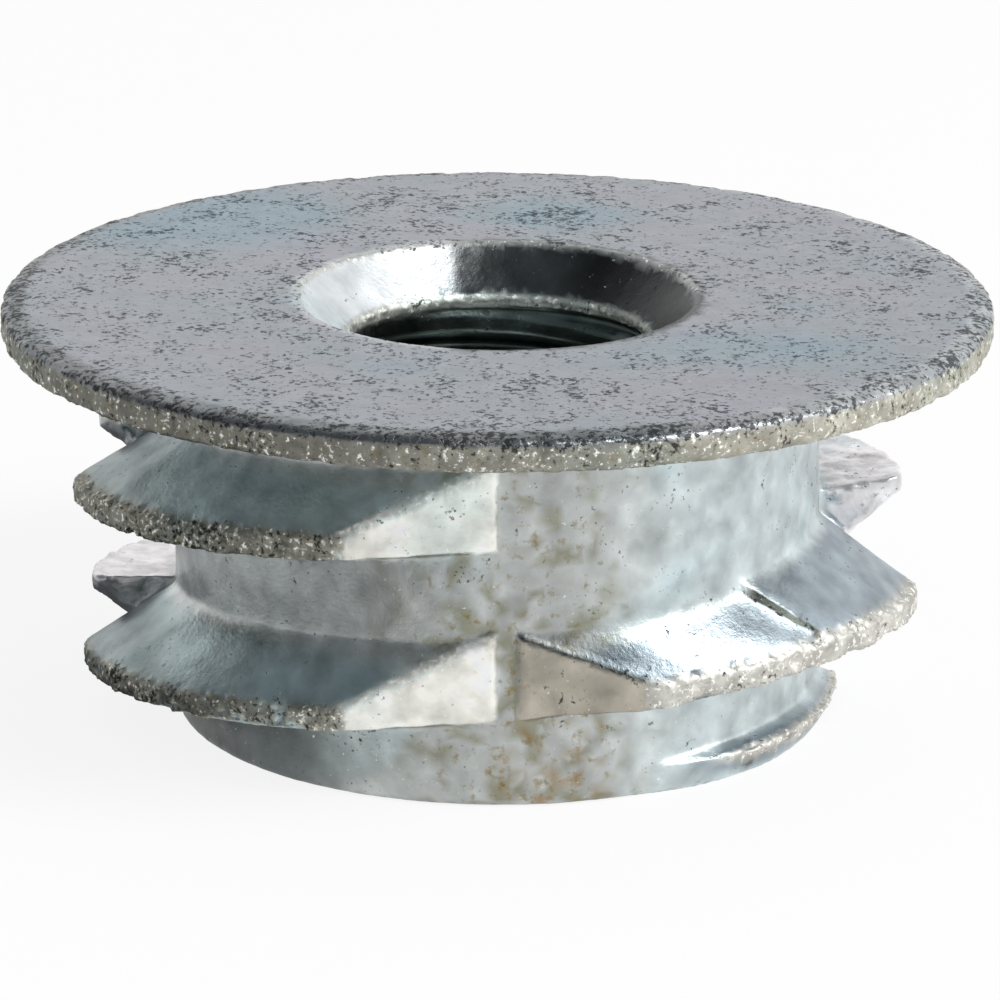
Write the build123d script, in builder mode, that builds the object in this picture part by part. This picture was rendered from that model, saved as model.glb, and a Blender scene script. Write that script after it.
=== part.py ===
from build123d import *
import math
import os

# A press-in threaded insert, cast in one piece from zinc: a thin round flange on a
# short boss, with an M8 thread down the middle. Two tool halves shaped the boss and
# parted at the plane through X. The front half carries barbs that are flat below and
# slope down from the boss on top. The back half is the same pattern turned over, so
# its barbs are flat on top, and the insert bites into its hole in both directions.
#
# Frame: Z is the thread's axis, Z = 0 is the end that goes into the hole, and the
# flange is on top. -Y is the front. A depth is a distance from the parting plane
# towards the front, and along is a distance from the axis to one side. A side is 1
# for the right, which is +X, and -1 for the left.

RIGHT = 1
LEFT = -1

# ---- Flange and boss
flange_radius = 11.0
flange_thickness = 0.8
flange_crown = 0.5  # width over which the top face rolls off towards its rim
flange_rim_drop = 0.2  # how far it has dropped when it gets there
flange_lip = 0.12  # small round under the rim
total_height = 9.5
boss_radius = 7.2
boss_lead_in = 0.22  # round on the end that enters the hole
neck_round = 0.25  # inner corner between the boss and the flange

# ---- M8 x 1.25 female thread, as its plain minor bore with a 45 degree mouth at each end
bore_radius = 3.4
mouth_width = 1.05  # how much wider than the bore its mouth in the flange is, all round
foot_width = 0.65  # and its mouth at the other end

# ---- Barbs: how they rise, and the section through one
barb_pitch = 3.85  # rise of one full turn
barb_base = 2.0  # underside of the lower barbs where they face the front
barb_root = 1.88  # height of a barb where it leaves the boss
barb_edge = 0.5  # height of its rough outer edge
flip_height = 3.87  # height of the line that the pattern turns over about
burial = 1.0  # how far a barb reaches into the boss at the parting plane

# ---- Barbs: their outline from above, half an oval with its front cut off flat
oval_reach = 9.5
oval_reach_low = 9.3  # the lower left barb's
oval_depth = 7.85
back_loss = 0.3  # how much shorter every barb of the back half is
flat_depth = 7.3
channel_width = 0.5  # bare strip of boss between the left and the right barbs
end_round = 1.1  # depth over which a barb rounds off towards the parting plane
end_reach_loss = 0.35  # how much shorter the rounding makes it there
end_top_loss = 0.4  # and how much lower
barb_sections = 12  # sections that each barb is drawn through, closest at its ends

# ---- The right barb, cut in two passes that don't quite meet
step_depth = 5.0  # where they meet
near_slant = 0.65  # share of the full rise that its root takes, up to there
far_root = 2.5  # height of its root above barb_base past there
far_rise = 0.2  # how much more the root rises towards the parting plane
tip_droop = 0.5  # how far its edge hangs down at the parting plane

# ---- The barb's first stretch, which the end of the boss cuts off to a low band
start_reach = 7.75
start_height = 0.65
start_taper = 0.4  # how far its face leans in towards the end
start_burial = 0.35
start_angle = 22.0  # where it rises out of the boss, in degrees from the front


def rounding(depth):
    """How far the end rounding has gone: 1 at the parting plane, 0 once past end_round."""
    return 1 - math.sqrt(1 - max(0, 1 - depth / end_round) ** 2)


def oval_edge(reach, depth):
    """How far along a barb's outline is at a depth."""
    return reach * math.sqrt(1 - (depth / oval_depth) ** 2) - end_reach_loss * rounding(depth)


def boss_face(depth):
    """How far along the boss's face is at a depth."""
    return math.sqrt(max(0, boss_radius**2 - depth**2))


def rise(side, along, depth):
    """How much higher than at the front the underside of a barb is at a point."""
    return side * barb_pitch * math.degrees(math.atan2(along, depth)) / 360


def plain_heights(side, level, face, outer, depth):
    """Heights of a plain barb: its root, the top and bottom of its edge, and its underside at the boss."""
    loss = end_top_loss * rounding(depth)
    inner_low = level + rise(side, face, depth)
    outer_low = level + rise(side, outer, depth)
    return inner_low + barb_root - loss, outer_low + barb_edge - loss, outer_low, inner_low


def near_heights(side, level, face, outer, depth):
    """The same for the right barb between its flat front and the step."""
    edge, outer_low, inner_low = plain_heights(side, level, face, outer, depth)[1:]
    root = level + barb_root + near_slant * rise(side, face, depth)
    return root, edge, outer_low, inner_low


def far_heights(side, level, face, outer, depth):
    """The same for the right barb between the step and the parting plane."""
    past = 1 - depth / step_depth
    root = level + far_root + far_rise * past - end_top_loss * rounding(depth)
    edge, outer_low, inner_low = plain_heights(side, level, face, outer, depth)[1:]
    return root, edge - tip_droop * past, outer_low - tip_droop * past, inner_low


def barb(side, level, reach, first_depth, last_depth, heights):
    """One barb, drawn through upright sections that lie along X at a series of depths."""
    start = channel_width if side == RIGHT else 0
    with BuildPart() as piece:
        for place in range(barb_sections + 1):
            share = (1 - math.cos(math.pi * place / barb_sections)) / 2
            depth = first_depth + (last_depth - first_depth) * share
            inner = start + (boss_radius - burial - start) * (1 - depth / flat_depth)
            face = max(start, boss_face(depth))
            outer = oval_edge(reach, depth)
            root, edge, outer_low, inner_low = heights(side, level, face, outer, depth)
            inner_root = root + (root - edge) * (face - inner) / (outer - face)
            with BuildSketch(Plane.XZ.offset(depth)):
                with BuildLine():
                    Polyline(
                        (side * inner, inner_root),
                        (side * outer, edge),
                        (side * outer, outer_low),
                        (side * inner, inner_low),
                        close=True,
                    )
                make_face()
        loft()
    return piece.part


def start_band():
    """The low band, drawn through upright sections that fan out from the axis."""
    with BuildPart() as band:
        for place in range(barb_sections + 1):
            share = place / barb_sections
            angle = start_angle + (90 - start_angle) * share
            swell = math.sin(math.pi / 2 * min(1, 2 * share))
            inner = boss_radius - start_burial
            outer = inner + start_burial / 2 + (start_reach - inner - start_burial / 2) * swell
            with BuildSketch(Plane.XZ.rotated((0, 0, angle - 90))):
                with BuildLine():
                    Polyline(
                        (inner, start_height + start_burial),
                        (outer, start_height),
                        (outer - start_taper * swell, 0),
                        (inner, 0),
                        close=True,
                    )
                make_face()
        loft()
    return band.part


def barb_half(loss):
    """The barbs of one tool half, each shorter than the full outline by a loss."""
    upper_level = barb_base + barb_pitch
    return [
        barb(LEFT, barb_base, oval_reach_low - loss, 0, flat_depth, plain_heights),
        barb(LEFT, upper_level, oval_reach - loss, 0, flat_depth, plain_heights),
        barb(RIGHT, barb_base, oval_reach - loss, 0, step_depth, far_heights),
        barb(RIGHT, barb_base, oval_reach - loss, step_depth, flat_depth, near_heights),
    ]


front_barbs = barb_half(0)
turn_over = Axis((0, 0, flip_height), (1, 0, 0))
back_barbs = [piece.rotate(turn_over, 180) for piece in barb_half(back_loss)]

with BuildPart() as barbs:
    add(front_barbs)
    add(back_barbs)
    add(start_band())
    # what rises into the flange stops inside it
    Cylinder(
        flange_radius,
        total_height - flange_thickness / 2,
        align=(Align.CENTER, Align.CENTER, Align.MIN),
        mode=Mode.INTERSECT,
    )

with BuildPart() as insert:
    # the boss and flange in one turned profile
    with BuildSketch(Plane.XZ):
        with BuildLine():
            underside = total_height - flange_thickness
            Polyline(
                (flange_radius - flange_crown, total_height),
                (0, total_height),
                (0, 0),
                (boss_radius - boss_lead_in, 0),
            )
            RadiusArc(
                (boss_radius - boss_lead_in, 0),
                (boss_radius, boss_lead_in),
                -boss_lead_in,
            )
            Line((boss_radius, boss_lead_in), (boss_radius, underside - neck_round))
            RadiusArc(
                (boss_radius, underside - neck_round),
                (boss_radius + neck_round, underside),
                neck_round,
            )
            Line((boss_radius + neck_round, underside), (flange_radius - flange_lip, underside))
            RadiusArc(
                (flange_radius - flange_lip, underside),
                (flange_radius, underside + flange_lip),
                -flange_lip,
            )
            Line(
                (flange_radius, underside + flange_lip),
                (flange_radius, total_height - flange_rim_drop),
            )
            EllipticalCenterArc(
                (flange_radius - flange_crown, total_height - flange_rim_drop),
                flange_crown,
                flange_rim_drop,
                start_angle=0,
                arc_size=90,
            )
        make_face()
    revolve(axis=Axis.Z)
    add(barbs)
    # the bore and its two mouths
    Hole(bore_radius)
    circles = insert.edges().filter_by(GeomType.CIRCLE).sort_by(Axis.Z)
    bore_ends = circles.filter_by(lambda edge: math.isclose(edge.radius, bore_radius))
    chamfer(bore_ends[-1], mouth_width)
    chamfer(bore_ends[0], foot_width)

insert.part.label = "insert"

os.makedirs("parts", exist_ok=True)
export_step(insert.part, "parts/insert.step")
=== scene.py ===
"""Looks of a press-in threaded insert: one zinc casting with a thin clear zinc plating.

The casting stands on a pale studio floor. Its shape comes from the CAD solid, which is copied, given the
fine thread, the ragged edges and the skin that casting and plating leave, and painted by zone; its colours
carry some painted light and shade.
"""

import logging
import math
from dataclasses import dataclass
from enum import Enum

import bmesh
import bpy
import numpy as np
from mathutils import Matrix, Vector, noise


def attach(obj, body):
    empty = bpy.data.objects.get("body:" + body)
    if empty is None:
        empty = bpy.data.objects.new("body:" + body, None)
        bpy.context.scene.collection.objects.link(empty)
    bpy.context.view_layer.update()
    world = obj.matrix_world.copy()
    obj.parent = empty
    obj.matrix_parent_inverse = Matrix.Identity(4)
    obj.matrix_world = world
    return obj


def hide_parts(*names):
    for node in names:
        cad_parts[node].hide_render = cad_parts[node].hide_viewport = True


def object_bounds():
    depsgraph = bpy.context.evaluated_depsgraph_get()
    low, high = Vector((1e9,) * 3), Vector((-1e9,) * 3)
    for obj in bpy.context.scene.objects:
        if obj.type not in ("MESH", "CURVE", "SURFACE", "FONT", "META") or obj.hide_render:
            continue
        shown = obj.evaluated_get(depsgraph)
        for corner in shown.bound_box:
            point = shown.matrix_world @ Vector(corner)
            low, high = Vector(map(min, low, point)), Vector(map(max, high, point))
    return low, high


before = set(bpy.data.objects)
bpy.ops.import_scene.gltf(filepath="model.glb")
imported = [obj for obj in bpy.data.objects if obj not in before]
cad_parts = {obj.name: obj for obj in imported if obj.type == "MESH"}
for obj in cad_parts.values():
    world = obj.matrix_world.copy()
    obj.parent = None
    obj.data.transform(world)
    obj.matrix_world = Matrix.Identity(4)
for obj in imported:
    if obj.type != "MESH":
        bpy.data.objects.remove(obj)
CAD_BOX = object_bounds()

MM = 0.001
log = logging.getLogger("threaded_insert")


class Layer(Enum):
    """The values that the mesh carries for its material to read."""

    TINT = "tint"  # colour of the plating, with painted light and shade in places
    SPECK = "speck"  # how densely dark specks lie
    STAIN = "stain"  # how much ochre staining there is
    BURR = "burr"  # torn edge metal, which carries the painted glints


class Zone(Enum):
    """The parts of the casting that look different from each other."""

    TOP = "flat top of the flange"
    ROLL = "where the top rolls off to the rim"
    SIDE = "the flange's rim"
    MOUTH = "the thread's mouth in the flange"
    LIP = "the torn edges of that mouth"
    BORE = "the thread"
    BOSS = "the round boss"
    LEFT_FLANK = "slopes of the left barbs"
    RIGHT_FLANK = "slope of the right barb"
    LEFT_CREST = "rough edges of the left barbs"
    RIGHT_CREST = "rough edges of the right barb and the start band"
    LEFT_FACET = "flat fronts of the left barbs"
    RIGHT_FACET = "flat front of the right barb"
    # a real burr, with a painted highlight along it
    BEAD_AND_HIGHLIGHT = "burr along the top of the left facets"
    # painted shade: the dark line in the right barb's step and along its facet's top edge
    CREASE_SHADE = "dark line along the top of the right facet"
    BACK = "barbs of the back half"


class Grain(Enum):
    """Layers of noise: how wide a swell is in millimetres, where its noise starts, and how many octaves."""

    WAVES = (1.6, 3.1, 2)  # slow unevenness of the skin
    PEEL = (0.35, 9.4, 2)  # finer unevenness of the skin
    GRIT = (0.13, 23.0, 2)  # grains on torn metal
    TEARS = (0.5, 17.0, 4)  # bites out of torn edges
    CLUSTERS = (3.2, 41.0, 2)  # where specks gather
    CASTS = (3.2, 41.0, 3)  # bluish and lilac drift
    CLOUDS = (0.5, 51.0, 4)  # cloudy thickness of the plating
    OLIVE = (0.5, 61.0, 4)  # olive stains
    RUST = (0.45, 71.0, 4)  # rusty stains


@dataclass(frozen=True)
class Finish:
    """How one zone looks: its colour, with painted light in some zones and painted shade in others, and its
    shares of specks, stain and torn metal.
    """

    tint: str
    speck: float = 0.0
    stain: float = 0.0
    burr: float = 0.0


BARE = "#B4B9BC"
# Besides the plating's own colours, these tints carry painted light and shade: several are lighter or darker
# to match how bright their part looks under this light, and the left and right flanks, crests and facets are
# lit and shaded copies of one finish.
FINISHES = {
    Zone.TOP: Finish("#9A9FA5", speck=0.50),
    Zone.ROLL: Finish("#86888A", speck=0.75),
    Zone.SIDE: Finish("#9F9D92", speck=0.35, stain=0.45, burr=0.85),
    # the mouth's light tint is a painted highlight where it stays, on the mouth's left; shade() paints the
    # rest of it dark
    Zone.MOUTH: Finish("#DDE2E4", speck=0.05, burr=0.10),
    Zone.LIP: Finish("#D8DAD2", speck=0.20, burr=1.0),
    # the thread's dark tint is painted shade in the bore
    Zone.BORE: Finish("#727D79"),
    Zone.BOSS: Finish("#D0D4D2", speck=0.05, stain=0.15, burr=0.25),
    Zone.LEFT_FLANK: Finish("#C4D3D4", speck=0.05),
    Zone.RIGHT_FLANK: Finish("#A0ABB2", speck=0.05),
    Zone.LEFT_CREST: Finish("#A9A79B", speck=0.50, stain=0.45, burr=0.9),
    Zone.RIGHT_CREST: Finish("#CFCDC6", speck=0.25, stain=0.15, burr=1.0),
    Zone.LEFT_FACET: Finish("#F4F3EB", speck=0.0, stain=0.05, burr=0.5),
    Zone.RIGHT_FACET: Finish("#B6B0A3", speck=0.15, stain=0.3, burr=0.3),
    # near white: a painted highlight along the left facets' top edges, over their real burr
    Zone.BEAD_AND_HIGHLIGHT: Finish("#FAF9F0", speck=0.10, burr=1.0),
    # painted shade in the crease and along the right facet's top edge
    Zone.CREASE_SHADE: Finish("#3A3D39", speck=0.20),
    Zone.BACK: Finish("#F0EDEE", speck=0.02, burr=0.25),
}


def linear(hex_colour: str) -> tuple[float, float, float, float]:
    """Turns an sRGB hex colour to linear light.

    Args:
        hex_colour: six hex digits after a hash.

    Returns:
        Red, green, blue and an alpha of 1.
    """
    parts = [int(hex_colour[place:place + 2], 16) / 255 for place in (1, 3, 5)]
    bent = [part / 12.92 if part <= 0.04045 else ((part + 0.055) / 1.055) ** 2.4 for part in parts]
    return (bent[0], bent[1], bent[2], 1.0)


def add_node(tree: bpy.types.NodeTree, kind: str, settings: dict | None = None,
             links: dict | None = None) -> bpy.types.Node:
    """Adds a node, sets its properties and sockets, and links sockets to earlier nodes.

    Args:
        tree: the node tree that the node joins.
        kind: the node's bl_idname.
        settings: property names, or socket names or places, and their values.
        links: input socket names or places, and the output sockets that feed them.

    Returns:
        The new node.
    """
    node = tree.nodes.new(kind)
    for name, value in (settings or {}).items():
        if isinstance(name, str) and name.islower() and hasattr(node, name):
            setattr(node, name, value)
        else:
            node.inputs[name].default_value = value
    for name, socket in (links or {}).items():
        tree.links.new(socket, node.inputs[name])
    return node


def ease(low: float, high: float, values: np.ndarray) -> np.ndarray:
    """A smooth step from 0 at low to 1 at high, which may be given in either order."""
    share = np.clip((values - low) / (high - low), 0, 1)
    return share * share * (3 - 2 * share)


def grain(points: np.ndarray, layer: Grain) -> np.ndarray:
    """Smooth noise at a set of points.

    Args:
        points: places in millimetres, one a row.
        layer: the noise to read.

    Returns:
        One value a point, about -1 to 1.
    """
    size, start, octaves = layer.value
    moved = points / size + start
    return np.array([noise.fractal(Vector(place), 1.0, 2.0, octaves) for place in moved])


def axes(points: np.ndarray) -> tuple[np.ndarray, np.ndarray, np.ndarray]:
    """How far each point is to the right, to the front and upwards."""
    return points[:, 0], -points[:, 1], points[:, 2]


def triangle_count(piece: bpy.types.Object) -> int:
    """How many triangles the piece's faces come to."""
    return sum(len(polygon.vertices) - 2 for polygon in piece.data.polygons)


@dataclass(frozen=True)
class PlatedZinc:
    """Zinc pressure casting, tumbled and given a thin clear zinc plating.

    The plating gives a satin metal with a faint blue to lilac cast. The porous casting shows through it as
    dark pin specks, the torn edges sparkle as painted white glints, and old passivate stains it ochre in
    places.
    """

    speck_colour: str = "#262A2C"
    stain_colour: str = "#8C7A4C"
    glint_colour: str = "#FFFEF8"
    roughness: float = 0.22
    mottled_roughness: float = 0.24  # what the mottling adds to it
    torn_roughness: float = 0.25  # what torn metal adds
    speck_roughness: float = 0.2  # what a dark speck adds
    mottling: tuple[float, float] = (0.84, 1.12)  # how dark and how light the mottling makes the colour
    speck_size: float = 0.062 * MM
    blotch_size: float = 0.45 * MM
    stain_size: float = 0.13 * MM
    noise_detail: float = 3.0
    noise_roughness: float = 0.62
    speck_level: float = 0.96  # the noise that passes for a speck where they are thinnest
    speck_ease: float = 0.26  # how much less of it is enough where they are densest
    speck_gather: float = 0.55  # how strongly the mottling gathers them
    speck_sharpness: float = 9.0
    speck_cover: float = 0.82
    stain_level: float = 0.72
    stain_ease: float = 0.3
    stain_sharpness: float = 5.0
    glint_level: float = 0.28  # the noise that stays below this is a glint on sound metal
    glint_ease: float = 0.17  # and this much more of it on torn metal
    glint_sharpness: float = 10.0
    glint_scatter: float = 0.6  # how much less metallic a glint is
    orange_peel: float = 0.6
    relief: float = 0.35
    pit_depth: float = 0.03 * MM

    def make(self) -> bpy.types.Material:
        """Builds the material.

        Returns:
            The new material.
        """
        material = bpy.data.materials.new("plated_zinc_casting")
        material.use_nodes = True
        tree = material.node_tree
        tree.nodes.clear()
        place = add_node(tree, "ShaderNodeTexCoord").outputs["Object"]
        wear = {
            layer: add_node(tree, "ShaderNodeAttribute", {"attribute_name": layer.value}).outputs
            for layer in Layer
        }
        fine, broad, patchy = (
            add_node(tree, "ShaderNodeTexNoise",
                     {"Scale": 0.5 / size, "Detail": self.noise_detail, "Roughness": self.noise_roughness},
                     {"Vector": place}).outputs["Fac"]
            for size in (self.speck_size, self.blotch_size, self.stain_size)
        )
        speck = self.specks(tree, fine, broad, wear[Layer.SPECK]["Fac"])
        stained = self.stains(tree, patchy, broad, wear)
        colour, metal = self.marks(tree, fine, speck, stained, wear[Layer.BURR]["Fac"])
        # sheen: smoother plating between rough specks and edges
        uneven = add_node(tree, "ShaderNodeMath",
                          {"operation": "MULTIPLY_ADD", 1: self.mottled_roughness, 2: self.roughness},
                          {0: broad})
        torn = add_node(tree, "ShaderNodeMath", {"operation": "MULTIPLY_ADD", 1: self.torn_roughness},
                        {0: wear[Layer.BURR]["Fac"], 2: uneven.outputs[0]})
        rough = add_node(tree, "ShaderNodeMath",
                         {"operation": "MULTIPLY_ADD", 1: self.speck_roughness, "use_clamp": True},
                         {0: speck, 2: torn.outputs[0]})
        # relief: pits at the specks over a slightly orange-peeled skin
        skin = add_node(tree, "ShaderNodeMath", {"operation": "MULTIPLY_ADD", 1: self.orange_peel},
                        {0: broad, 2: fine})
        pitted = add_node(tree, "ShaderNodeMath", {"operation": "SUBTRACT"}, {0: skin.outputs[0], 1: speck})
        bump = add_node(tree, "ShaderNodeBump", {"Strength": self.relief, "Distance": self.pit_depth},
                        {"Height": pitted.outputs[0]})
        shader = add_node(tree, "ShaderNodeBsdfPrincipled", None,
                          {"Base Color": colour, "Metallic": metal, "Roughness": rough.outputs[0],
                           "Normal": bump.outputs[0]})
        add_node(tree, "ShaderNodeOutputMaterial", None, {"Surface": shader.outputs[0]})
        return material

    def specks(self, tree: bpy.types.NodeTree, fine: bpy.types.NodeSocket, broad: bpy.types.NodeSocket,
               density: bpy.types.NodeSocket) -> bpy.types.NodeSocket:
        """Dark pin specks: the fine noise past a level that falls where they are dense.

        Args:
            tree: the material's nodes.
            fine: noise of the specks' size.
            broad: noise that gathers them in clusters.
            density: how densely they lie, from 0 to 1.

        Returns:
            A value that is 1 on a speck.
        """
        level = add_node(tree, "ShaderNodeMath",
                         {"operation": "MULTIPLY_ADD", 1: -self.speck_ease, 2: self.speck_level},
                         {0: density})
        crowd = add_node(tree, "ShaderNodeMath", {"operation": "MULTIPLY_ADD", 1: self.speck_gather},
                         {0: broad, 2: fine})
        over = add_node(tree, "ShaderNodeMath", {"operation": "SUBTRACT"},
                        {0: crowd.outputs[0], 1: level.outputs[0]})
        return add_node(tree, "ShaderNodeMath",
                        {"operation": "MULTIPLY", 1: self.speck_sharpness, "use_clamp": True},
                        {0: over.outputs[0]}).outputs[0]

    def stains(self, tree: bpy.types.NodeTree, patchy: bpy.types.NodeSocket, broad: bpy.types.NodeSocket,
               wear: dict[Layer, bpy.types.NodeSocket]) -> bpy.types.NodeSocket:
        """The plating's colour, mottled and stained.

        Args:
            tree: the material's nodes.
            patchy: noise of the stains' size.
            broad: noise of the mottling.
            wear: the mesh's layers.

        Returns:
            The colour.
        """
        dark, light = self.mottling
        mottle = add_node(tree, "ShaderNodeMapRange",
                          {"From Min": 0.3, "From Max": 0.7, "To Min": dark, "To Max": light},
                          {"Value": broad})
        base = add_node(tree, "ShaderNodeVectorMath", {"operation": "SCALE"},
                        {0: wear[Layer.TINT]["Color"], "Scale": mottle.outputs["Result"]})
        level = add_node(tree, "ShaderNodeMath",
                         {"operation": "MULTIPLY_ADD", 1: -self.stain_ease, 2: self.stain_level},
                         {0: wear[Layer.STAIN]["Fac"]})
        over = add_node(tree, "ShaderNodeMath", {"operation": "SUBTRACT"}, {0: patchy, 1: level.outputs[0]})
        share = add_node(tree, "ShaderNodeMath",
                         {"operation": "MULTIPLY", 1: self.stain_sharpness, "use_clamp": True},
                         {0: over.outputs[0]})
        return add_node(tree, "ShaderNodeMixRGB", {"Color2": linear(self.stain_colour)},
                        {"Fac": share.outputs[0], "Color1": base.outputs[0]}).outputs[0]

    def marks(self, tree: bpy.types.NodeTree, fine: bpy.types.NodeSocket, speck: bpy.types.NodeSocket,
              stained: bpy.types.NodeSocket, burr: bpy.types.NodeSocket
              ) -> tuple[bpy.types.NodeSocket, bpy.types.NodeSocket]:
        """Painted glints, white in the hollows of the fine noise, and dark specks on its peaks.

        A glint is a painted highlight: white colour for a sparkle of crumbled metal, made less of a mirror
        so that it shows bright from every side.

        Args:
            tree: the material's nodes.
            fine: noise of the marks' size.
            speck: 1 on a dark speck.
            stained: the colour below the marks.
            burr: how torn the metal is, from 0 to 1.

        Returns:
            The marked colour, and how metallic it is.
        """
        level = add_node(tree, "ShaderNodeMath",
                         {"operation": "MULTIPLY_ADD", 1: self.glint_ease, 2: self.glint_level}, {0: burr})
        under = add_node(tree, "ShaderNodeMath", {"operation": "SUBTRACT"}, {0: level.outputs[0], 1: fine})
        share = add_node(tree, "ShaderNodeMath",
                         {"operation": "MULTIPLY", 1: self.glint_sharpness, "use_clamp": True},
                         {0: under.outputs[0]})
        glinting = add_node(tree, "ShaderNodeMixRGB", {"Color2": linear(self.glint_colour)},
                            {"Fac": share.outputs[0], "Color1": stained})
        dark = add_node(tree, "ShaderNodeMath", {"operation": "MULTIPLY", 1: self.speck_cover}, {0: speck})
        marked = add_node(tree, "ShaderNodeMixRGB", {"Color2": linear(self.speck_colour)},
                          {"Fac": dark.outputs[0], "Color1": glinting.outputs[0]})
        metal = add_node(tree, "ShaderNodeMath",
                         {"operation": "MULTIPLY_ADD", 1: -self.glint_scatter, 2: 1.0},
                         {0: share.outputs[0]})
        return marked.outputs[0], metal.outputs[0]


@dataclass
class Casting:
    """The insert's one casting, worked over from its CAD solid. Sizes are in millimetres."""

    node: str = "insert"
    slot: str = "plated_zinc"
    grid: float = 0.075  # how fine the worked mesh is before it is thinned
    triangles: int = 188000
    flange_radius: float = 11.0
    flange_thickness: float = 0.8
    crown_start: float = 10.5
    height: float = 9.5
    boss_radius: float = 7.2
    bore_radius: float = 3.4
    mouth_radius: float = 4.45
    mouth_depth: float = 1.05
    thread_pitch: float = 1.25
    thread_depth: float = 0.6
    thread_root: float = 0.156
    oval_reach: float = 9.5
    oval_depth: float = 7.85
    flat_depth: float = 7.3
    step_depth: float = 5.0
    bead_slope: float = 0.474  # rise along X of the left facets' top edges
    bead_heights: tuple[float, float] = (3.88, 7.73)  # where those edges meet the plane X = 0
    wave_depth: float = 0.012
    peel_depth: float = 0.006
    tear_depth: float = 0.11
    tear_start: float = 0.015  # how deep a bite has to be to show
    grit_depth: float = 0.035
    bead_height: float = 0.08
    tumble_passes: int = 2
    root_passes: int = 45
    blue_cast: tuple[float, float, float] = (0.78, 0.97, 1.03)
    lilac_cast: tuple[float, float, float] = (1.04, 0.99, 1.03)
    cool_cast: tuple[float, float, float] = (0.98, 1.04, 1.08)
    olive_colour: str = "#7E7A50"
    rust_colour: str = "#96773C"

    @property
    def mouth_low(self) -> float:
        """Height of the lower edge of the thread's mouth."""
        return self.height - self.mouth_depth

    def build(self) -> bpy.types.Object:
        """Makes the casting and hands it to the frame.

        Returns:
            The finished piece.
        """
        piece = self.copy_solid()
        self.remesh(piece)
        self.cut_thread(piece)
        self.soften(piece)
        self.roughen(piece)
        self.thin_out(piece)
        self.paint(piece)
        piece.data.transform(Matrix.Scale(MM, 4))
        self.keep_inside(piece)
        for polygon in piece.data.polygons:
            polygon.use_smooth = True
        piece.data.materials.append(PlatedZinc().make())
        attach(piece, "root")
        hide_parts(self.node)
        return piece

    def copy_solid(self) -> bpy.types.Object:
        """Copies the CAD node's mesh, in millimetres, with its loose triangles merged.

        Returns:
            The copy, in the scene.
        """
        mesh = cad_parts[self.node].data.copy()
        mesh.materials.clear()
        mesh.transform(Matrix.Scale(1 / MM, 4))
        shell = bmesh.new()
        shell.from_mesh(mesh)
        bmesh.ops.remove_doubles(shell, verts=shell.verts, dist=0.002)
        shell.to_mesh(mesh)
        shell.free()
        mesh.name = "insert_casting"
        piece = bpy.data.objects.new("insert_casting", mesh)
        bpy.context.scene.collection.objects.link(piece)
        return piece

    def finish_modifiers(self, piece: bpy.types.Object) -> None:
        """Replaces the piece's mesh with what its modifiers make of it.

        Args:
            piece: the casting, which ends with no modifiers.
        """
        graph = bpy.context.evaluated_depsgraph_get()
        mesh = bpy.data.meshes.new_from_object(piece.evaluated_get(graph))
        mesh.name = piece.name
        piece.modifiers.clear()
        piece.data = mesh

    def remesh(self, piece: bpy.types.Object) -> None:
        """Gives the solid an even, fine mesh.

        Args:
            piece: the casting.
        """
        even = piece.modifiers.new("even", "REMESH")
        even.mode = "VOXEL"
        even.voxel_size = self.grid
        self.finish_modifiers(piece)
        log.info("remeshed to %d faces", len(piece.data.polygons))

    def read(self, piece: bpy.types.Object) -> np.ndarray:
        """Reads the piece's points.

        Args:
            piece: the casting.

        Returns:
            One point a row.
        """
        points = np.empty(len(piece.data.vertices) * 3)
        piece.data.vertices.foreach_get("co", points)
        return points.reshape(-1, 3)

    def normals(self, piece: bpy.types.Object) -> np.ndarray:
        """Reads the piece's normals at its points.

        Args:
            piece: the casting.

        Returns:
            One normal a row.
        """
        values = np.empty(len(piece.data.vertices) * 3, np.float32)
        piece.data.vertex_normals.foreach_get("vector", values)
        return values.reshape(-1, 3).astype(float)

    def write(self, piece: bpy.types.Object, points: np.ndarray) -> None:
        """Moves the piece's points."""
        piece.data.vertices.foreach_set("co", points.ravel())
        piece.data.update()

    def cut_thread(self, piece: bpy.types.Object) -> None:
        """Presses the helical groove of the M8 thread into the bore's wall, fading out below its mouth.

        Args:
            piece: the casting.
        """
        points = self.read(piece)
        radius = np.hypot(points[:, 0], points[:, 1])
        turn = np.arctan2(points[:, 1], points[:, 0]) / (2 * math.pi)
        phase = (points[:, 2] / self.thread_pitch - turn) % 1.0
        offset = np.abs(phase - 0.5) * self.thread_pitch
        flank = np.maximum(0, offset - self.thread_root / 2) / math.tan(math.radians(30))
        fade = ease(self.mouth_low - 0.1, self.mouth_low - 0.5, points[:, 2])
        groove = self.bore_radius + np.maximum(0, self.thread_depth - flank) * fade
        near = (radius < self.bore_radius + self.thread_depth) & (radius > self.bore_radius - 0.3)
        grown = np.where(near, np.maximum(radius, groove), radius)
        points[:, :2] *= (grown / np.maximum(radius, 1e-6))[:, None]
        self.write(piece, points)

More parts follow.
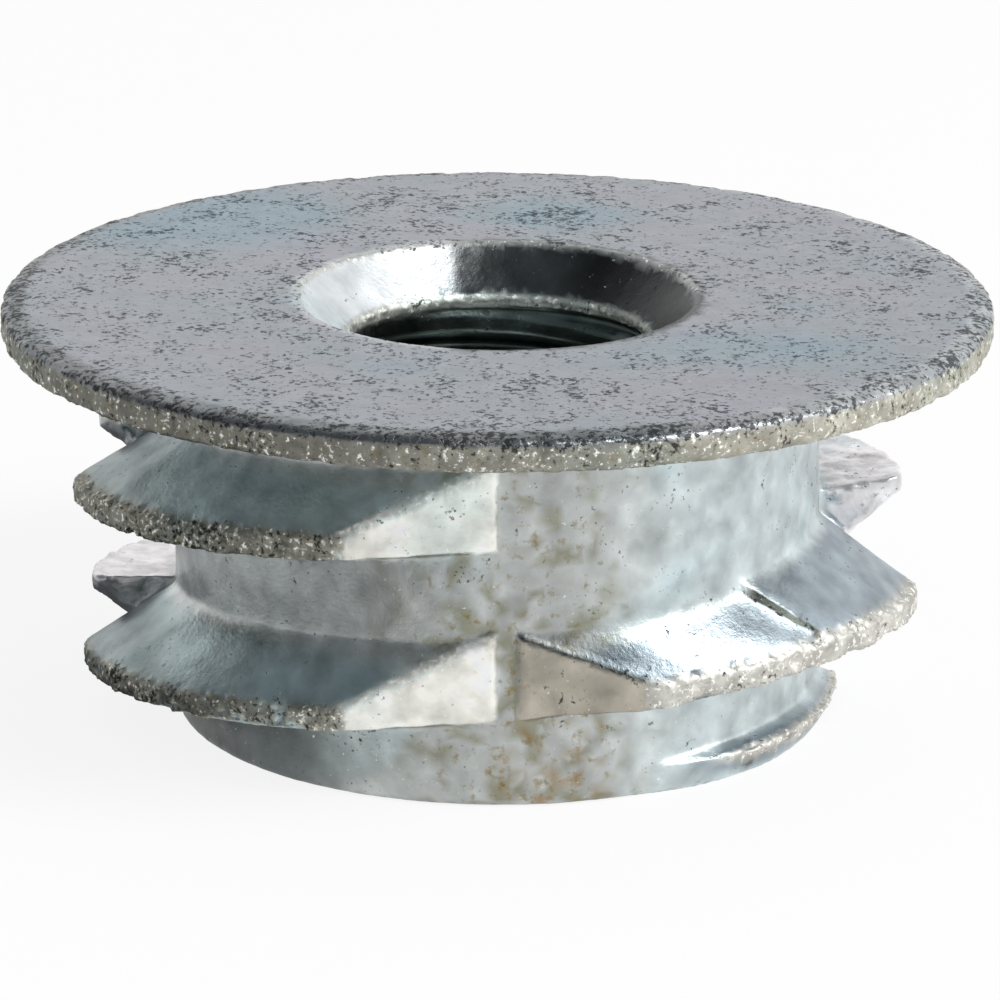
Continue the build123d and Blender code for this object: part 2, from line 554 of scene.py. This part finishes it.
    def soften(self, piece: bpy.types.Object) -> None:
        """Rounds every edge a little, as tumbling does, and fills the right barb's root.

        Args:
            piece: the casting.
        """
        along, depth, high = axes(self.read(piece))
        from_root = np.abs(np.hypot(along, depth) - self.boss_radius - 0.15)
        beside = ease(3.4, 3.8, high) * ease(5.6, 5.0, high)
        across = ease(1.4, 2.6, along) * ease(4.9, 5.15, depth)
        root = ease(1.1, 0.6, from_root) * beside * across
        group = piece.vertex_groups.new(name="root")
        for place in np.flatnonzero(root > 0.01):
            group.add([int(place)], float(root[place]), "REPLACE")
        smooth = piece.modifiers.new("tumbled", "SMOOTH")
        smooth.factor = 0.5
        smooth.iterations = self.tumble_passes
        fill = piece.modifiers.new("root_fill", "SMOOTH")
        fill.factor = 0.6
        fill.iterations = self.root_passes
        fill.vertex_group = "root"
        self.finish_modifiers(piece)
        piece.vertex_groups.clear()

    def barb_reach(self, depth: np.ndarray) -> np.ndarray:
        """Distance along X to the barbs' outline at distances from the parting plane."""
        return self.oval_reach * np.sqrt(np.clip(1 - (depth / self.oval_depth) ** 2, 0, 1))

    def zones(self, points: np.ndarray, normals: np.ndarray) -> dict[Zone, np.ndarray]:
        """Says how much each point belongs to each zone of the casting.

        Args:
            points: places in millimetres, one a row.
            normals: the directions the surface faces there.

        Returns:
            One share from 0 to 1 a point for each zone.
        """
        along, depth, high = axes(points)
        radius = np.hypot(along, depth)
        left, front = along < 0, depth > 0
        rim_low = self.height - self.flange_thickness
        rim_face = high > rim_low - 0.1
        below = ease(rim_low, rim_low - 0.15, high)
        outside = ease(self.boss_radius + 0.12, self.boss_radius + 0.3, radius)
        from_edge = self.barb_reach(np.abs(depth)) - np.abs(along)
        crest = below * outside * ease(0.42, 0.16, from_edge) * (np.abs(along) > 3.2)
        band = below * ease(7.45, 7.6, radius) * ease(1.1, 0.8, high) * (~left & front)
        crest = np.maximum(crest, band)
        facet = below * ease(self.flat_depth - 0.08, self.flat_depth - 0.04, np.abs(depth)) * (1 - crest)
        near_flat = ease(self.flat_depth - 0.12, self.flat_depth - 0.05, depth)
        # the facets' top edges: painted as a highlight on the left barbs, and as shade on the right one
        edge = below * near_flat * ease(0.2, 0.45, normals[:, 2]) * ease(0.1, 0.4, np.abs(along))
        above = high - self.bead_slope * along
        from_line = np.minimum(*(np.abs(above - height) for height in self.bead_heights))
        bead = facet * left * front * ease(0.2, 0.08, from_line)
        facet = facet * (1 - edge) * (1 - bead)
        flank = below * outside * (1 - crest) * (1 - facet) * (1 - edge)
        # the step across the right barb, painted as a dark line of shade
        crease = flank * ease(0.1, 0.04, np.abs(depth - self.step_depth)) * ease(4.8, 5.2, along)
        low_lip = ease(0.2, 0.1, np.abs(high - self.mouth_low + 0.08)) * (radius < self.bore_radius + 0.3)
        high_lip = ease(0.13, 0.05, np.abs(radius - self.mouth_radius)) * (high > self.height - 0.2)
        high_lip = high_lip * 0.7 * ease(1.0, -1.0, depth)
        lip = np.maximum(low_lip, high_lip)
        cone = self.bore_radius + np.maximum(0, high - self.mouth_low)
        mouth = ease(0.2, 0.1, np.abs(radius - cone)) * (high > self.mouth_low) * (1 - lip)
        rolled = ease(self.crown_start - 0.1, self.crown_start + 0.12, radius)
        side = ease(self.flange_radius - 0.25, self.flange_radius - 0.1, radius)
        return {
            Zone.TOP: ease(self.height - 0.1, self.height - 0.04, high) * (1 - rolled) * (1 - high_lip),
            Zone.ROLL: rolled * ease(self.height - 0.26, self.height - 0.18, high),
            Zone.SIDE: side * ease(self.height - 0.16, self.height - 0.26, high) * rim_face,
            Zone.MOUTH: mouth,
            Zone.LIP: lip,
            Zone.BORE: (radius < 4.2) * (high < self.height - 0.3) * (1 - lip) * (1 - mouth),
            Zone.BOSS: below * (1 - outside) * (radius > 5.0) * (1 - edge) * (1 - facet) * (1 - bead),
            Zone.LEFT_FLANK: flank * left * front,
            Zone.RIGHT_FLANK: (flank - crease) * ~left * front,
            Zone.LEFT_CREST: crest * left * front,
            Zone.RIGHT_CREST: crest * ~left * front,
            Zone.LEFT_FACET: facet * left * front,
            Zone.RIGHT_FACET: facet * ~left * front,
            Zone.BEAD_AND_HIGHLIGHT: np.clip(edge * left + bead, 0, 1),
            Zone.CREASE_SHADE: (edge + crease) * ~left * front,
            Zone.BACK: np.clip(flank + crest + facet, 0, 1) * ~front,
        }

    def roughen(self, piece: bpy.types.Object) -> None:
        """Gives the casting its skin, and tears its edges.

        Args:
            piece: the casting.
        """
        points = self.read(piece)
        normals = self.normals(piece)
        zone = self.zones(points, normals)
        crests = zone[Zone.LEFT_CREST] + zone[Zone.RIGHT_CREST]
        facets = zone[Zone.LEFT_FACET] + zone[Zone.RIGHT_FACET]
        torn = crests + 0.6 * zone[Zone.SIDE] + 0.35 * zone[Zone.ROLL] + 0.2 * facets + 0.5 * zone[Zone.BACK]
        skin = grain(points, Grain.WAVES) * self.wave_depth + grain(points, Grain.PEEL) * self.peel_depth
        grit = grain(points, Grain.GRIT)
        bites = np.minimum(0, grain(points, Grain.TEARS) * self.tear_depth - self.tear_start)
        tear = bites + grit * self.grit_depth
        beads = np.maximum(0, grit) * self.bead_height * (zone[Zone.BEAD_AND_HIGHLIGHT] + zone[Zone.LIP])
        calm = 1 - zone[Zone.BORE]
        points += normals * (skin * calm + tear * np.clip(torn, 0, 1) + beads)[:, None]
        self.write(piece, points)

    def thin_out(self, piece: bpy.types.Object) -> None:
        """Takes triangles out where the surface is plain, and keeps them where it is not.

        Args:
            piece: the casting.
        """
        count = triangle_count(piece)
        thin = piece.modifiers.new("thin", "DECIMATE")
        thin.ratio = min(1.0, self.triangles / count)
        self.finish_modifiers(piece)
        log.info("thinned from %d to %d triangles", count, triangle_count(piece))

    def keep_inside(self, piece: bpy.types.Object) -> None:
        """Holds every point inside the CAD solid's box.

        Args:
            piece: the casting, in metres.
        """
        points = self.read(piece)
        low, high = (np.array(corner) for corner in CAD_BOX)
        self.write(piece, np.clip(points, low, high))

    def blend(self, tint: np.ndarray, colour: str, share: np.ndarray) -> np.ndarray:
        """Mixes a colour into the tints.

        Args:
            tint: linear colours, one a row.
            colour: the sRGB hex colour to mix in.
            share: how much of it each point takes, from 0 to 1.

        Returns:
            The mixed colours.
        """
        mixed_in = np.array(linear(colour)[:3])
        return tint + (mixed_in - tint) * np.clip(share, 0, 1)[:, None]

    def tinge(self, tint: np.ndarray, cast: tuple[float, float, float], share: np.ndarray) -> np.ndarray:
        """Gives the tints a colour cast.

        Args:
            tint: linear colours, one a row.
            cast: what the whole cast multiplies red, green and blue by.
            share: how much of it each point takes, from 0 to 1.

        Returns:
            The tinged colours.
        """
        return tint * (1 + share[:, None] * (np.array(cast) - 1))

    def paint(self, piece: bpy.types.Object) -> None:
        """Writes the colour of each zone, with its painted light and shade, and its wear to the mesh.

        Args:
            piece: the casting.
        """
        points = self.read(piece)
        zone = self.zones(points, self.normals(piece))
        shares = np.stack([zone[name] for name in FINISHES], axis=1)
        tints = np.array([linear(finish.tint)[:3] for finish in FINISHES.values()])
        bare = np.array(linear(BARE)[:3]) * 1e-4
        tint = (shares @ tints + bare) / (shares.sum(axis=1) + 1e-4)[:, None]
        tint = self.weather_and_shade(points, zone, tint)
        mesh = piece.data
        colour_layer = mesh.attributes.new(Layer.TINT.value, "FLOAT_COLOR", "POINT")
        colour_layer.data.foreach_set("color", np.hstack([tint, np.ones((len(points), 1))]).ravel())
        along, depth, high = axes(points)
        front_stain = ease(3.2, 1.0, np.abs(along - 0.6)) * ease(5.5, 7.0, depth) * ease(8.0, 6.0, high)
        extra = {
            Layer.SPECK: 0.1 * grain(points, Grain.CLUSTERS),
            Layer.STAIN: 0.4 * front_stain * zone[Zone.BOSS],
            Layer.BURR: 0.0,
        }
        for layer, more in extra.items():
            wear = shares @ np.array([getattr(finish, layer.value) for finish in FINISHES.values()])
            values = np.clip(wear + more, 0, 1).astype(np.float32)
            mesh.attributes.new(layer.value, "FLOAT", "POINT").data.foreach_set("value", values)

    def weather_and_shade(self, points: np.ndarray, zone: dict[Zone, np.ndarray], tint: np.ndarray) -> np.ndarray:
        """Lets the tints drift across the casting, paints light and shade into them, and stains them in
        places.

        Args:
            points: places in millimetres, one a row.
            zone: how much each point belongs to each zone.
            tint: linear colours, one a row.

        Returns:
            The colours, drifted, with painted light and shade, and stained.
        """
        tint = self.drift(points, zone, tint)
        tint = self.shade(points, zone, tint)
        return self.stain(points, zone, tint)

    def drift(self, points: np.ndarray, zone: dict[Zone, np.ndarray], tint: np.ndarray) -> np.ndarray:
        """Gives the plating its bluish and lilac casts, and its cloudy thickness.

        Args:
            points: places in millimetres, one a row.
            zone: how much each point belongs to each zone.
            tint: linear colours, one a row.

        Returns:
            The drifting colours.
        """
        along, depth, _ = axes(points)
        top, mouth, boss = zone[Zone.TOP], zone[Zone.MOUTH], zone[Zone.BOSS]
        wander = grain(points, Grain.CASTS)
        patch = ease(4.2, 1.5, np.hypot(along + 6.6, depth + 6.6)) * top
        patch += 0.8 * ease(3.4, 1.0, np.hypot(along - 1.2, (depth + 6.8) * 2)) * top
        patch += 0.7 * ease(3.6, 1.0, np.hypot(along - 5.6, (depth - 4.2) * 1.5)) * top
        blue = np.clip(ease(0.0, 0.7, wander) * 0.4 + patch, 0, 1)
        tint = self.tinge(tint, self.blue_cast, blue)
        lilac = ease(0.1, -0.5, wander) * top * (1 - np.clip(patch, 0, 1))
        tint = self.tinge(tint, self.lilac_cast, lilac)
        cloud = grain(points, Grain.CLOUDS)
        tint = tint * (1 + cloud * (0.3 - 0.18 * top - 0.2 * mouth))[:, None]
        return self.tinge(tint, self.cool_cast, boss * ease(1.5, 4.5, along))

    def shade(self, points: np.ndarray, zone: dict[Zone, np.ndarray], tint: np.ndarray) -> np.ndarray:
        """Paints shade and light into the tints in places.

        Args:
            points: places in millimetres, one a row.
            zone: how much each point belongs to each zone.
            tint: linear colours, one a row.

        Returns:
            The shaded colours.
        """
        along, depth, high = axes(points)
        mouth, boss = zone[Zone.MOUTH], zone[Zone.BOSS]
        # painted shade: the mouth is darkened past the painted highlight on its left, and so is the left of
        # the thread
        mouth_shade = mouth * (0.85 * ease(-1.25, -0.8, along) + 0.09 * ease(0.8, 2.4, along))
        tint = tint * (1 - 0.6 * zone[Zone.BORE] * ease(-0.5, -2.0, along))[:, None]
        tint = tint * (1 - mouth_shade)[:, None]
        # painted light: the rim is brighter towards its right; painted shade: the left barbs darken far to
        # the left, and so do the boss low on the left and at its centre, and the right barb's slope where it
        # tucks in
        rim = zone[Zone.ROLL] + 0.6 * zone[Zone.SIDE]
        tint = tint * (1 + rim * ease(2.0, 8.0, along))[:, None]
        far_left_shade = zone[Zone.LEFT_FLANK] * ease(-6.0, -8.0, along)
        middle_shade = boss * ease(3.5, 1.5, np.abs(along)) * ease(5.0, 6.6, depth)
        tucked_shade = zone[Zone.RIGHT_FLANK] * ease(5.9, 7.0, depth)
        low_left_shade = boss * ease(2.6, 1.2, high) * ease(-2.0, -4.5, along)
        return tint * (1 - 0.5 * far_left_shade - 0.72 * low_left_shade - 0.22 * middle_shade - 0.5 * tucked_shade)[:, None]

    def stain(self, points: np.ndarray, zone: dict[Zone, np.ndarray], tint: np.ndarray) -> np.ndarray:
        """Adds olive and rusty stains low on the front of the boss.

        Args:
            points: places in millimetres, one a row.
            zone: how much each point belongs to each zone.
            tint: linear colours, one a row.

        Returns:
            The stained colours.
        """
        along, depth, high = axes(points)
        boss = zone[Zone.BOSS]
        facing = ease(5.0, 6.6, depth)
        olive = ease(0.12, 0.4, grain(points, Grain.OLIVE)) * ease(4.0, 1.0, np.abs(along - 0.3))
        tint = self.blend(tint, self.olive_colour, 0.55 * olive * boss * facing)
        rust = ease(0.0, 0.35, grain(points, Grain.RUST)) * ease(1.6, 0.5, np.abs(along - 1.3))
        return self.blend(tint, self.rust_colour, 0.65 * rust * boss * ease(2.2, 1.6, high) * facing)


@dataclass(frozen=True)
class Cut:
    """A plane that trims a card: a point on it, and the way to the side that goes."""

    place: tuple[float, float, float]
    outward: tuple[float, float, float]


@dataclass(frozen=True)
class LowCard:
    """A card of painted floor shade, lying left of the object: its name, where it starts and ends, its
    colour.
    """

    name: str
    low: float
    high: float
    colour: str


HOOD_CUTS = (  # the floor side, the back and the right of the hood go
    Cut((0.0, 0.0, 0.02), (0.0, 0.0, -1.0)),
    Cut((0.0, 0.13, 0.2), (0.1, 1.0, -0.35)),
    Cut((0.16, 0.0, 0.0), (1.0, 0.0, -0.15)),
)
# painted shade of the floor at the object's left, as the metal mirrors it: dark close by, lighter further
# out
FLOOR_SHADE_CARDS = (
    LowCard("near_floor_shadow_card", -0.015, -0.0076, "#45484B"),
    LowCard("far_floor_shade_card", -0.06, -0.015, "#C4C7C9"),
)


@dataclass
class Studio:
    """A white floor and sky, grey cards that the metal mirrors, two of them painted floor shade, one soft
    lamp. Sizes are in metres.
    """

    floor_half: float = 1.5
    seen_glow: float = 0.86  # how far the floor glows where the camera looks
    mirrored_glow: float = 0.6  # and where metal mirrors it
    paper_colour: str = "#F4F4F4"
    sky_light: float = 0.55  # how strongly the sky lights matt things
    hood_radius: float = 0.45
    hood_colour: str = "#71767A"
    low_card_depth: float = 0.08
    lamp_place: tuple[float, float, float] = (0.26, -0.15, 0.32)
    lamp_size: float = 0.16
    lamp_power: float = 1.3
    target: tuple[float, float, float] = (0.0, 0.0, 5.08 * MM)
    distance: float = 142.01 * MM
    elevation: float = 17.4
    roll: float = 0.307
    lens: float = 228.2
    shift: tuple[float, float] = (0.0035, -0.0167)

    def build(self) -> None:
        """Makes the floor, the sky, the cards, the lamp and the camera."""
        self.make_floor()
        self.make_sky()
        self.make_hood()
        for card in FLOOR_SHADE_CARDS:
            self.make_low_card(card)
        self.make_lamp()
        self.make_camera()
        bpy.context.scene.view_settings.view_transform = "Standard"

    def put(self, shell: bmesh.types.BMesh, name: str) -> bpy.types.Object:
        """Puts a shape in the scene.

        Args:
            shell: the shape, which is freed.
            name: what the object and its mesh are called.

        Returns:
            The new object.
        """
        mesh = bpy.data.meshes.new(name)
        shell.to_mesh(mesh)
        shell.free()
        item = bpy.data.objects.new(name, mesh)
        bpy.context.scene.collection.objects.link(item)
        return item

    def seen(self, tree: bpy.types.NodeTree) -> bpy.types.NodeSocket:
        """A value that is 1 where the camera, a mirror or glass looks, and 0 for plain light.

        Args:
            tree: the nodes to add it to.

        Returns:
            The value.
        """
        path = add_node(tree, "ShaderNodeLightPath").outputs
        pair = add_node(tree, "ShaderNodeMath", {"operation": "MAXIMUM"},
                        {0: path["Is Camera Ray"], 1: path["Is Glossy Ray"]})
        return add_node(tree, "ShaderNodeMath", {"operation": "MAXIMUM"},
                        {0: pair.outputs[0], 1: path["Is Transmission Ray"]}).outputs[0]

    def make_floor(self) -> None:
        """A matt white floor that glows where it is looked at and keeps a soft shadow."""
        shell = bmesh.new()
        bmesh.ops.create_grid(shell, x_segments=1, y_segments=1, size=self.floor_half)
        floor = self.put(shell, "floor")
        material = bpy.data.materials.new("white_paper")
        material.use_nodes = True
        tree = material.node_tree
        tree.nodes.clear()
        paper = add_node(tree, "ShaderNodeBsdfDiffuse", {"Color": linear(self.paper_colour)})
        glow = add_node(tree, "ShaderNodeEmission", {"Color": linear("#FFFFFF"), "Strength": 1.0})
        path = add_node(tree, "ShaderNodeLightPath").outputs
        mirrored = add_node(tree, "ShaderNodeMath", {"operation": "MAXIMUM"},
                            {0: path["Is Glossy Ray"], 1: path["Is Transmission Ray"]})
        dim = add_node(tree, "ShaderNodeMath", {"operation": "MULTIPLY", 1: self.mirrored_glow},
                       {0: mirrored.outputs[0]})
        share = add_node(tree, "ShaderNodeMath", {"operation": "MULTIPLY_ADD", 1: self.seen_glow},
                         {0: path["Is Camera Ray"], 2: dim.outputs[0]})
        mixed = add_node(tree, "ShaderNodeMixShader", None,
                         {0: share.outputs[0], 1: paper.outputs[0], 2: glow.outputs[0]})
        add_node(tree, "ShaderNodeOutputMaterial", None, {"Surface": mixed.outputs[0]})
        floor.data.materials.append(material)

    def make_sky(self) -> None:
        """A plain light grey surround that looks white."""
        world = bpy.data.worlds.new("surround")
        bpy.context.scene.world = world
        world.use_nodes = True
        tree = world.node_tree
        tree.nodes.clear()
        plain = add_node(tree, "ShaderNodeBackground",
                         {"Color": linear("#FFFFFF"), "Strength": self.sky_light})
        white = add_node(tree, "ShaderNodeBackground", {"Color": linear("#FFFFFF"), "Strength": 1.0})
        mixed = add_node(tree, "ShaderNodeMixShader", None,
                         {0: self.seen(tree), 1: plain.outputs[0], 2: white.outputs[0]})
        add_node(tree, "ShaderNodeOutputWorld", None, {"Surface": mixed.outputs[0]})

    def finish_card(self, card: bpy.types.Object, colour: str) -> None:
        """Colours a card evenly, and lets only the metal see it.

        Args:
            card: the card.
            colour: the sRGB hex colour that the metal sees.
        """
        material = bpy.data.materials.new(card.name + "_felt")
        material.use_nodes = True
        tree = material.node_tree
        tree.nodes.clear()
        felt = add_node(tree, "ShaderNodeEmission", {"Color": linear(colour), "Strength": 1.0})
        add_node(tree, "ShaderNodeOutputMaterial", None, {"Surface": felt.outputs[0]})
        card.data.materials.append(material)
        card.visible_camera = False
        card.visible_diffuse = False
        card.visible_shadow = False

    def make_hood(self) -> None:
        """A dark hood over the front, the top and the left, which the metal mirrors."""
        shell = bmesh.new()
        bmesh.ops.create_uvsphere(shell, u_segments=48, v_segments=32, radius=self.hood_radius)
        for cut in HOOD_CUTS:
            everything = shell.verts[:] + shell.edges[:] + shell.faces[:]
            bmesh.ops.bisect_plane(shell, geom=everything, plane_co=cut.place, plane_no=cut.outward,
                                   clear_outer=True)
        self.finish_card(self.put(shell, "dark_card"), self.hood_colour)

    def make_low_card(self, card: LowCard) -> None:
        """A card of painted floor shade that lies on the floor to the left.

        Args:
            card: its name, place and colour.
        """
        shell = bmesh.new()
        bmesh.ops.create_grid(shell, x_segments=1, y_segments=1, size=0.5)
        bmesh.ops.scale(shell, vec=(card.high - card.low, self.low_card_depth, 1), verts=shell.verts)
        bmesh.ops.translate(shell, vec=((card.low + card.high) / 2, 0.01, 0.0003), verts=shell.verts)
        self.finish_card(self.put(shell, card.name), card.colour)

    def make_lamp(self) -> None:
        """A large soft lamp high on the right."""
        lamp = bpy.data.lights.new("key", "AREA")
        lamp.size = self.lamp_size
        lamp.energy = self.lamp_power
        holder = bpy.data.objects.new("key", lamp)
        holder.location = self.lamp_place
        aim = Vector(self.target) - Vector(self.lamp_place)
        holder.rotation_euler = aim.to_track_quat("-Z", "Y").to_euler()
        bpy.context.scene.collection.objects.link(holder)

    def make_camera(self) -> None:
        """A long lens, a little above the object."""
        lens = bpy.data.cameras.new("camera")
        lens.sensor_width = 36.0
        lens.lens = self.lens
        lens.shift_x, lens.shift_y = self.shift
        lens.clip_start = 0.01
        lens.clip_end = 10.0
        camera = bpy.data.objects.new("camera", lens)
        up = math.radians(self.elevation)
        camera.location = Vector(self.target) + Vector((0, -math.cos(up), math.sin(up))) * self.distance
        turn = Matrix.Rotation(math.pi / 2 - up, 4, "X") @ Matrix.Rotation(math.radians(self.roll), 4, "Z")
        camera.rotation_euler = turn.to_euler()
        bpy.context.scene.collection.objects.link(camera)
        bpy.context.scene.camera = camera


def main() -> None:
    """Builds the studio and the casting."""
    logging.basicConfig(level=logging.INFO, format="%(name)s: %(message)s")
    Studio().build()
    piece = Casting().build()
    log.info("made %s with %d triangles", piece.name, triangle_count(piece))


if __name__ == "__main__":
    main()
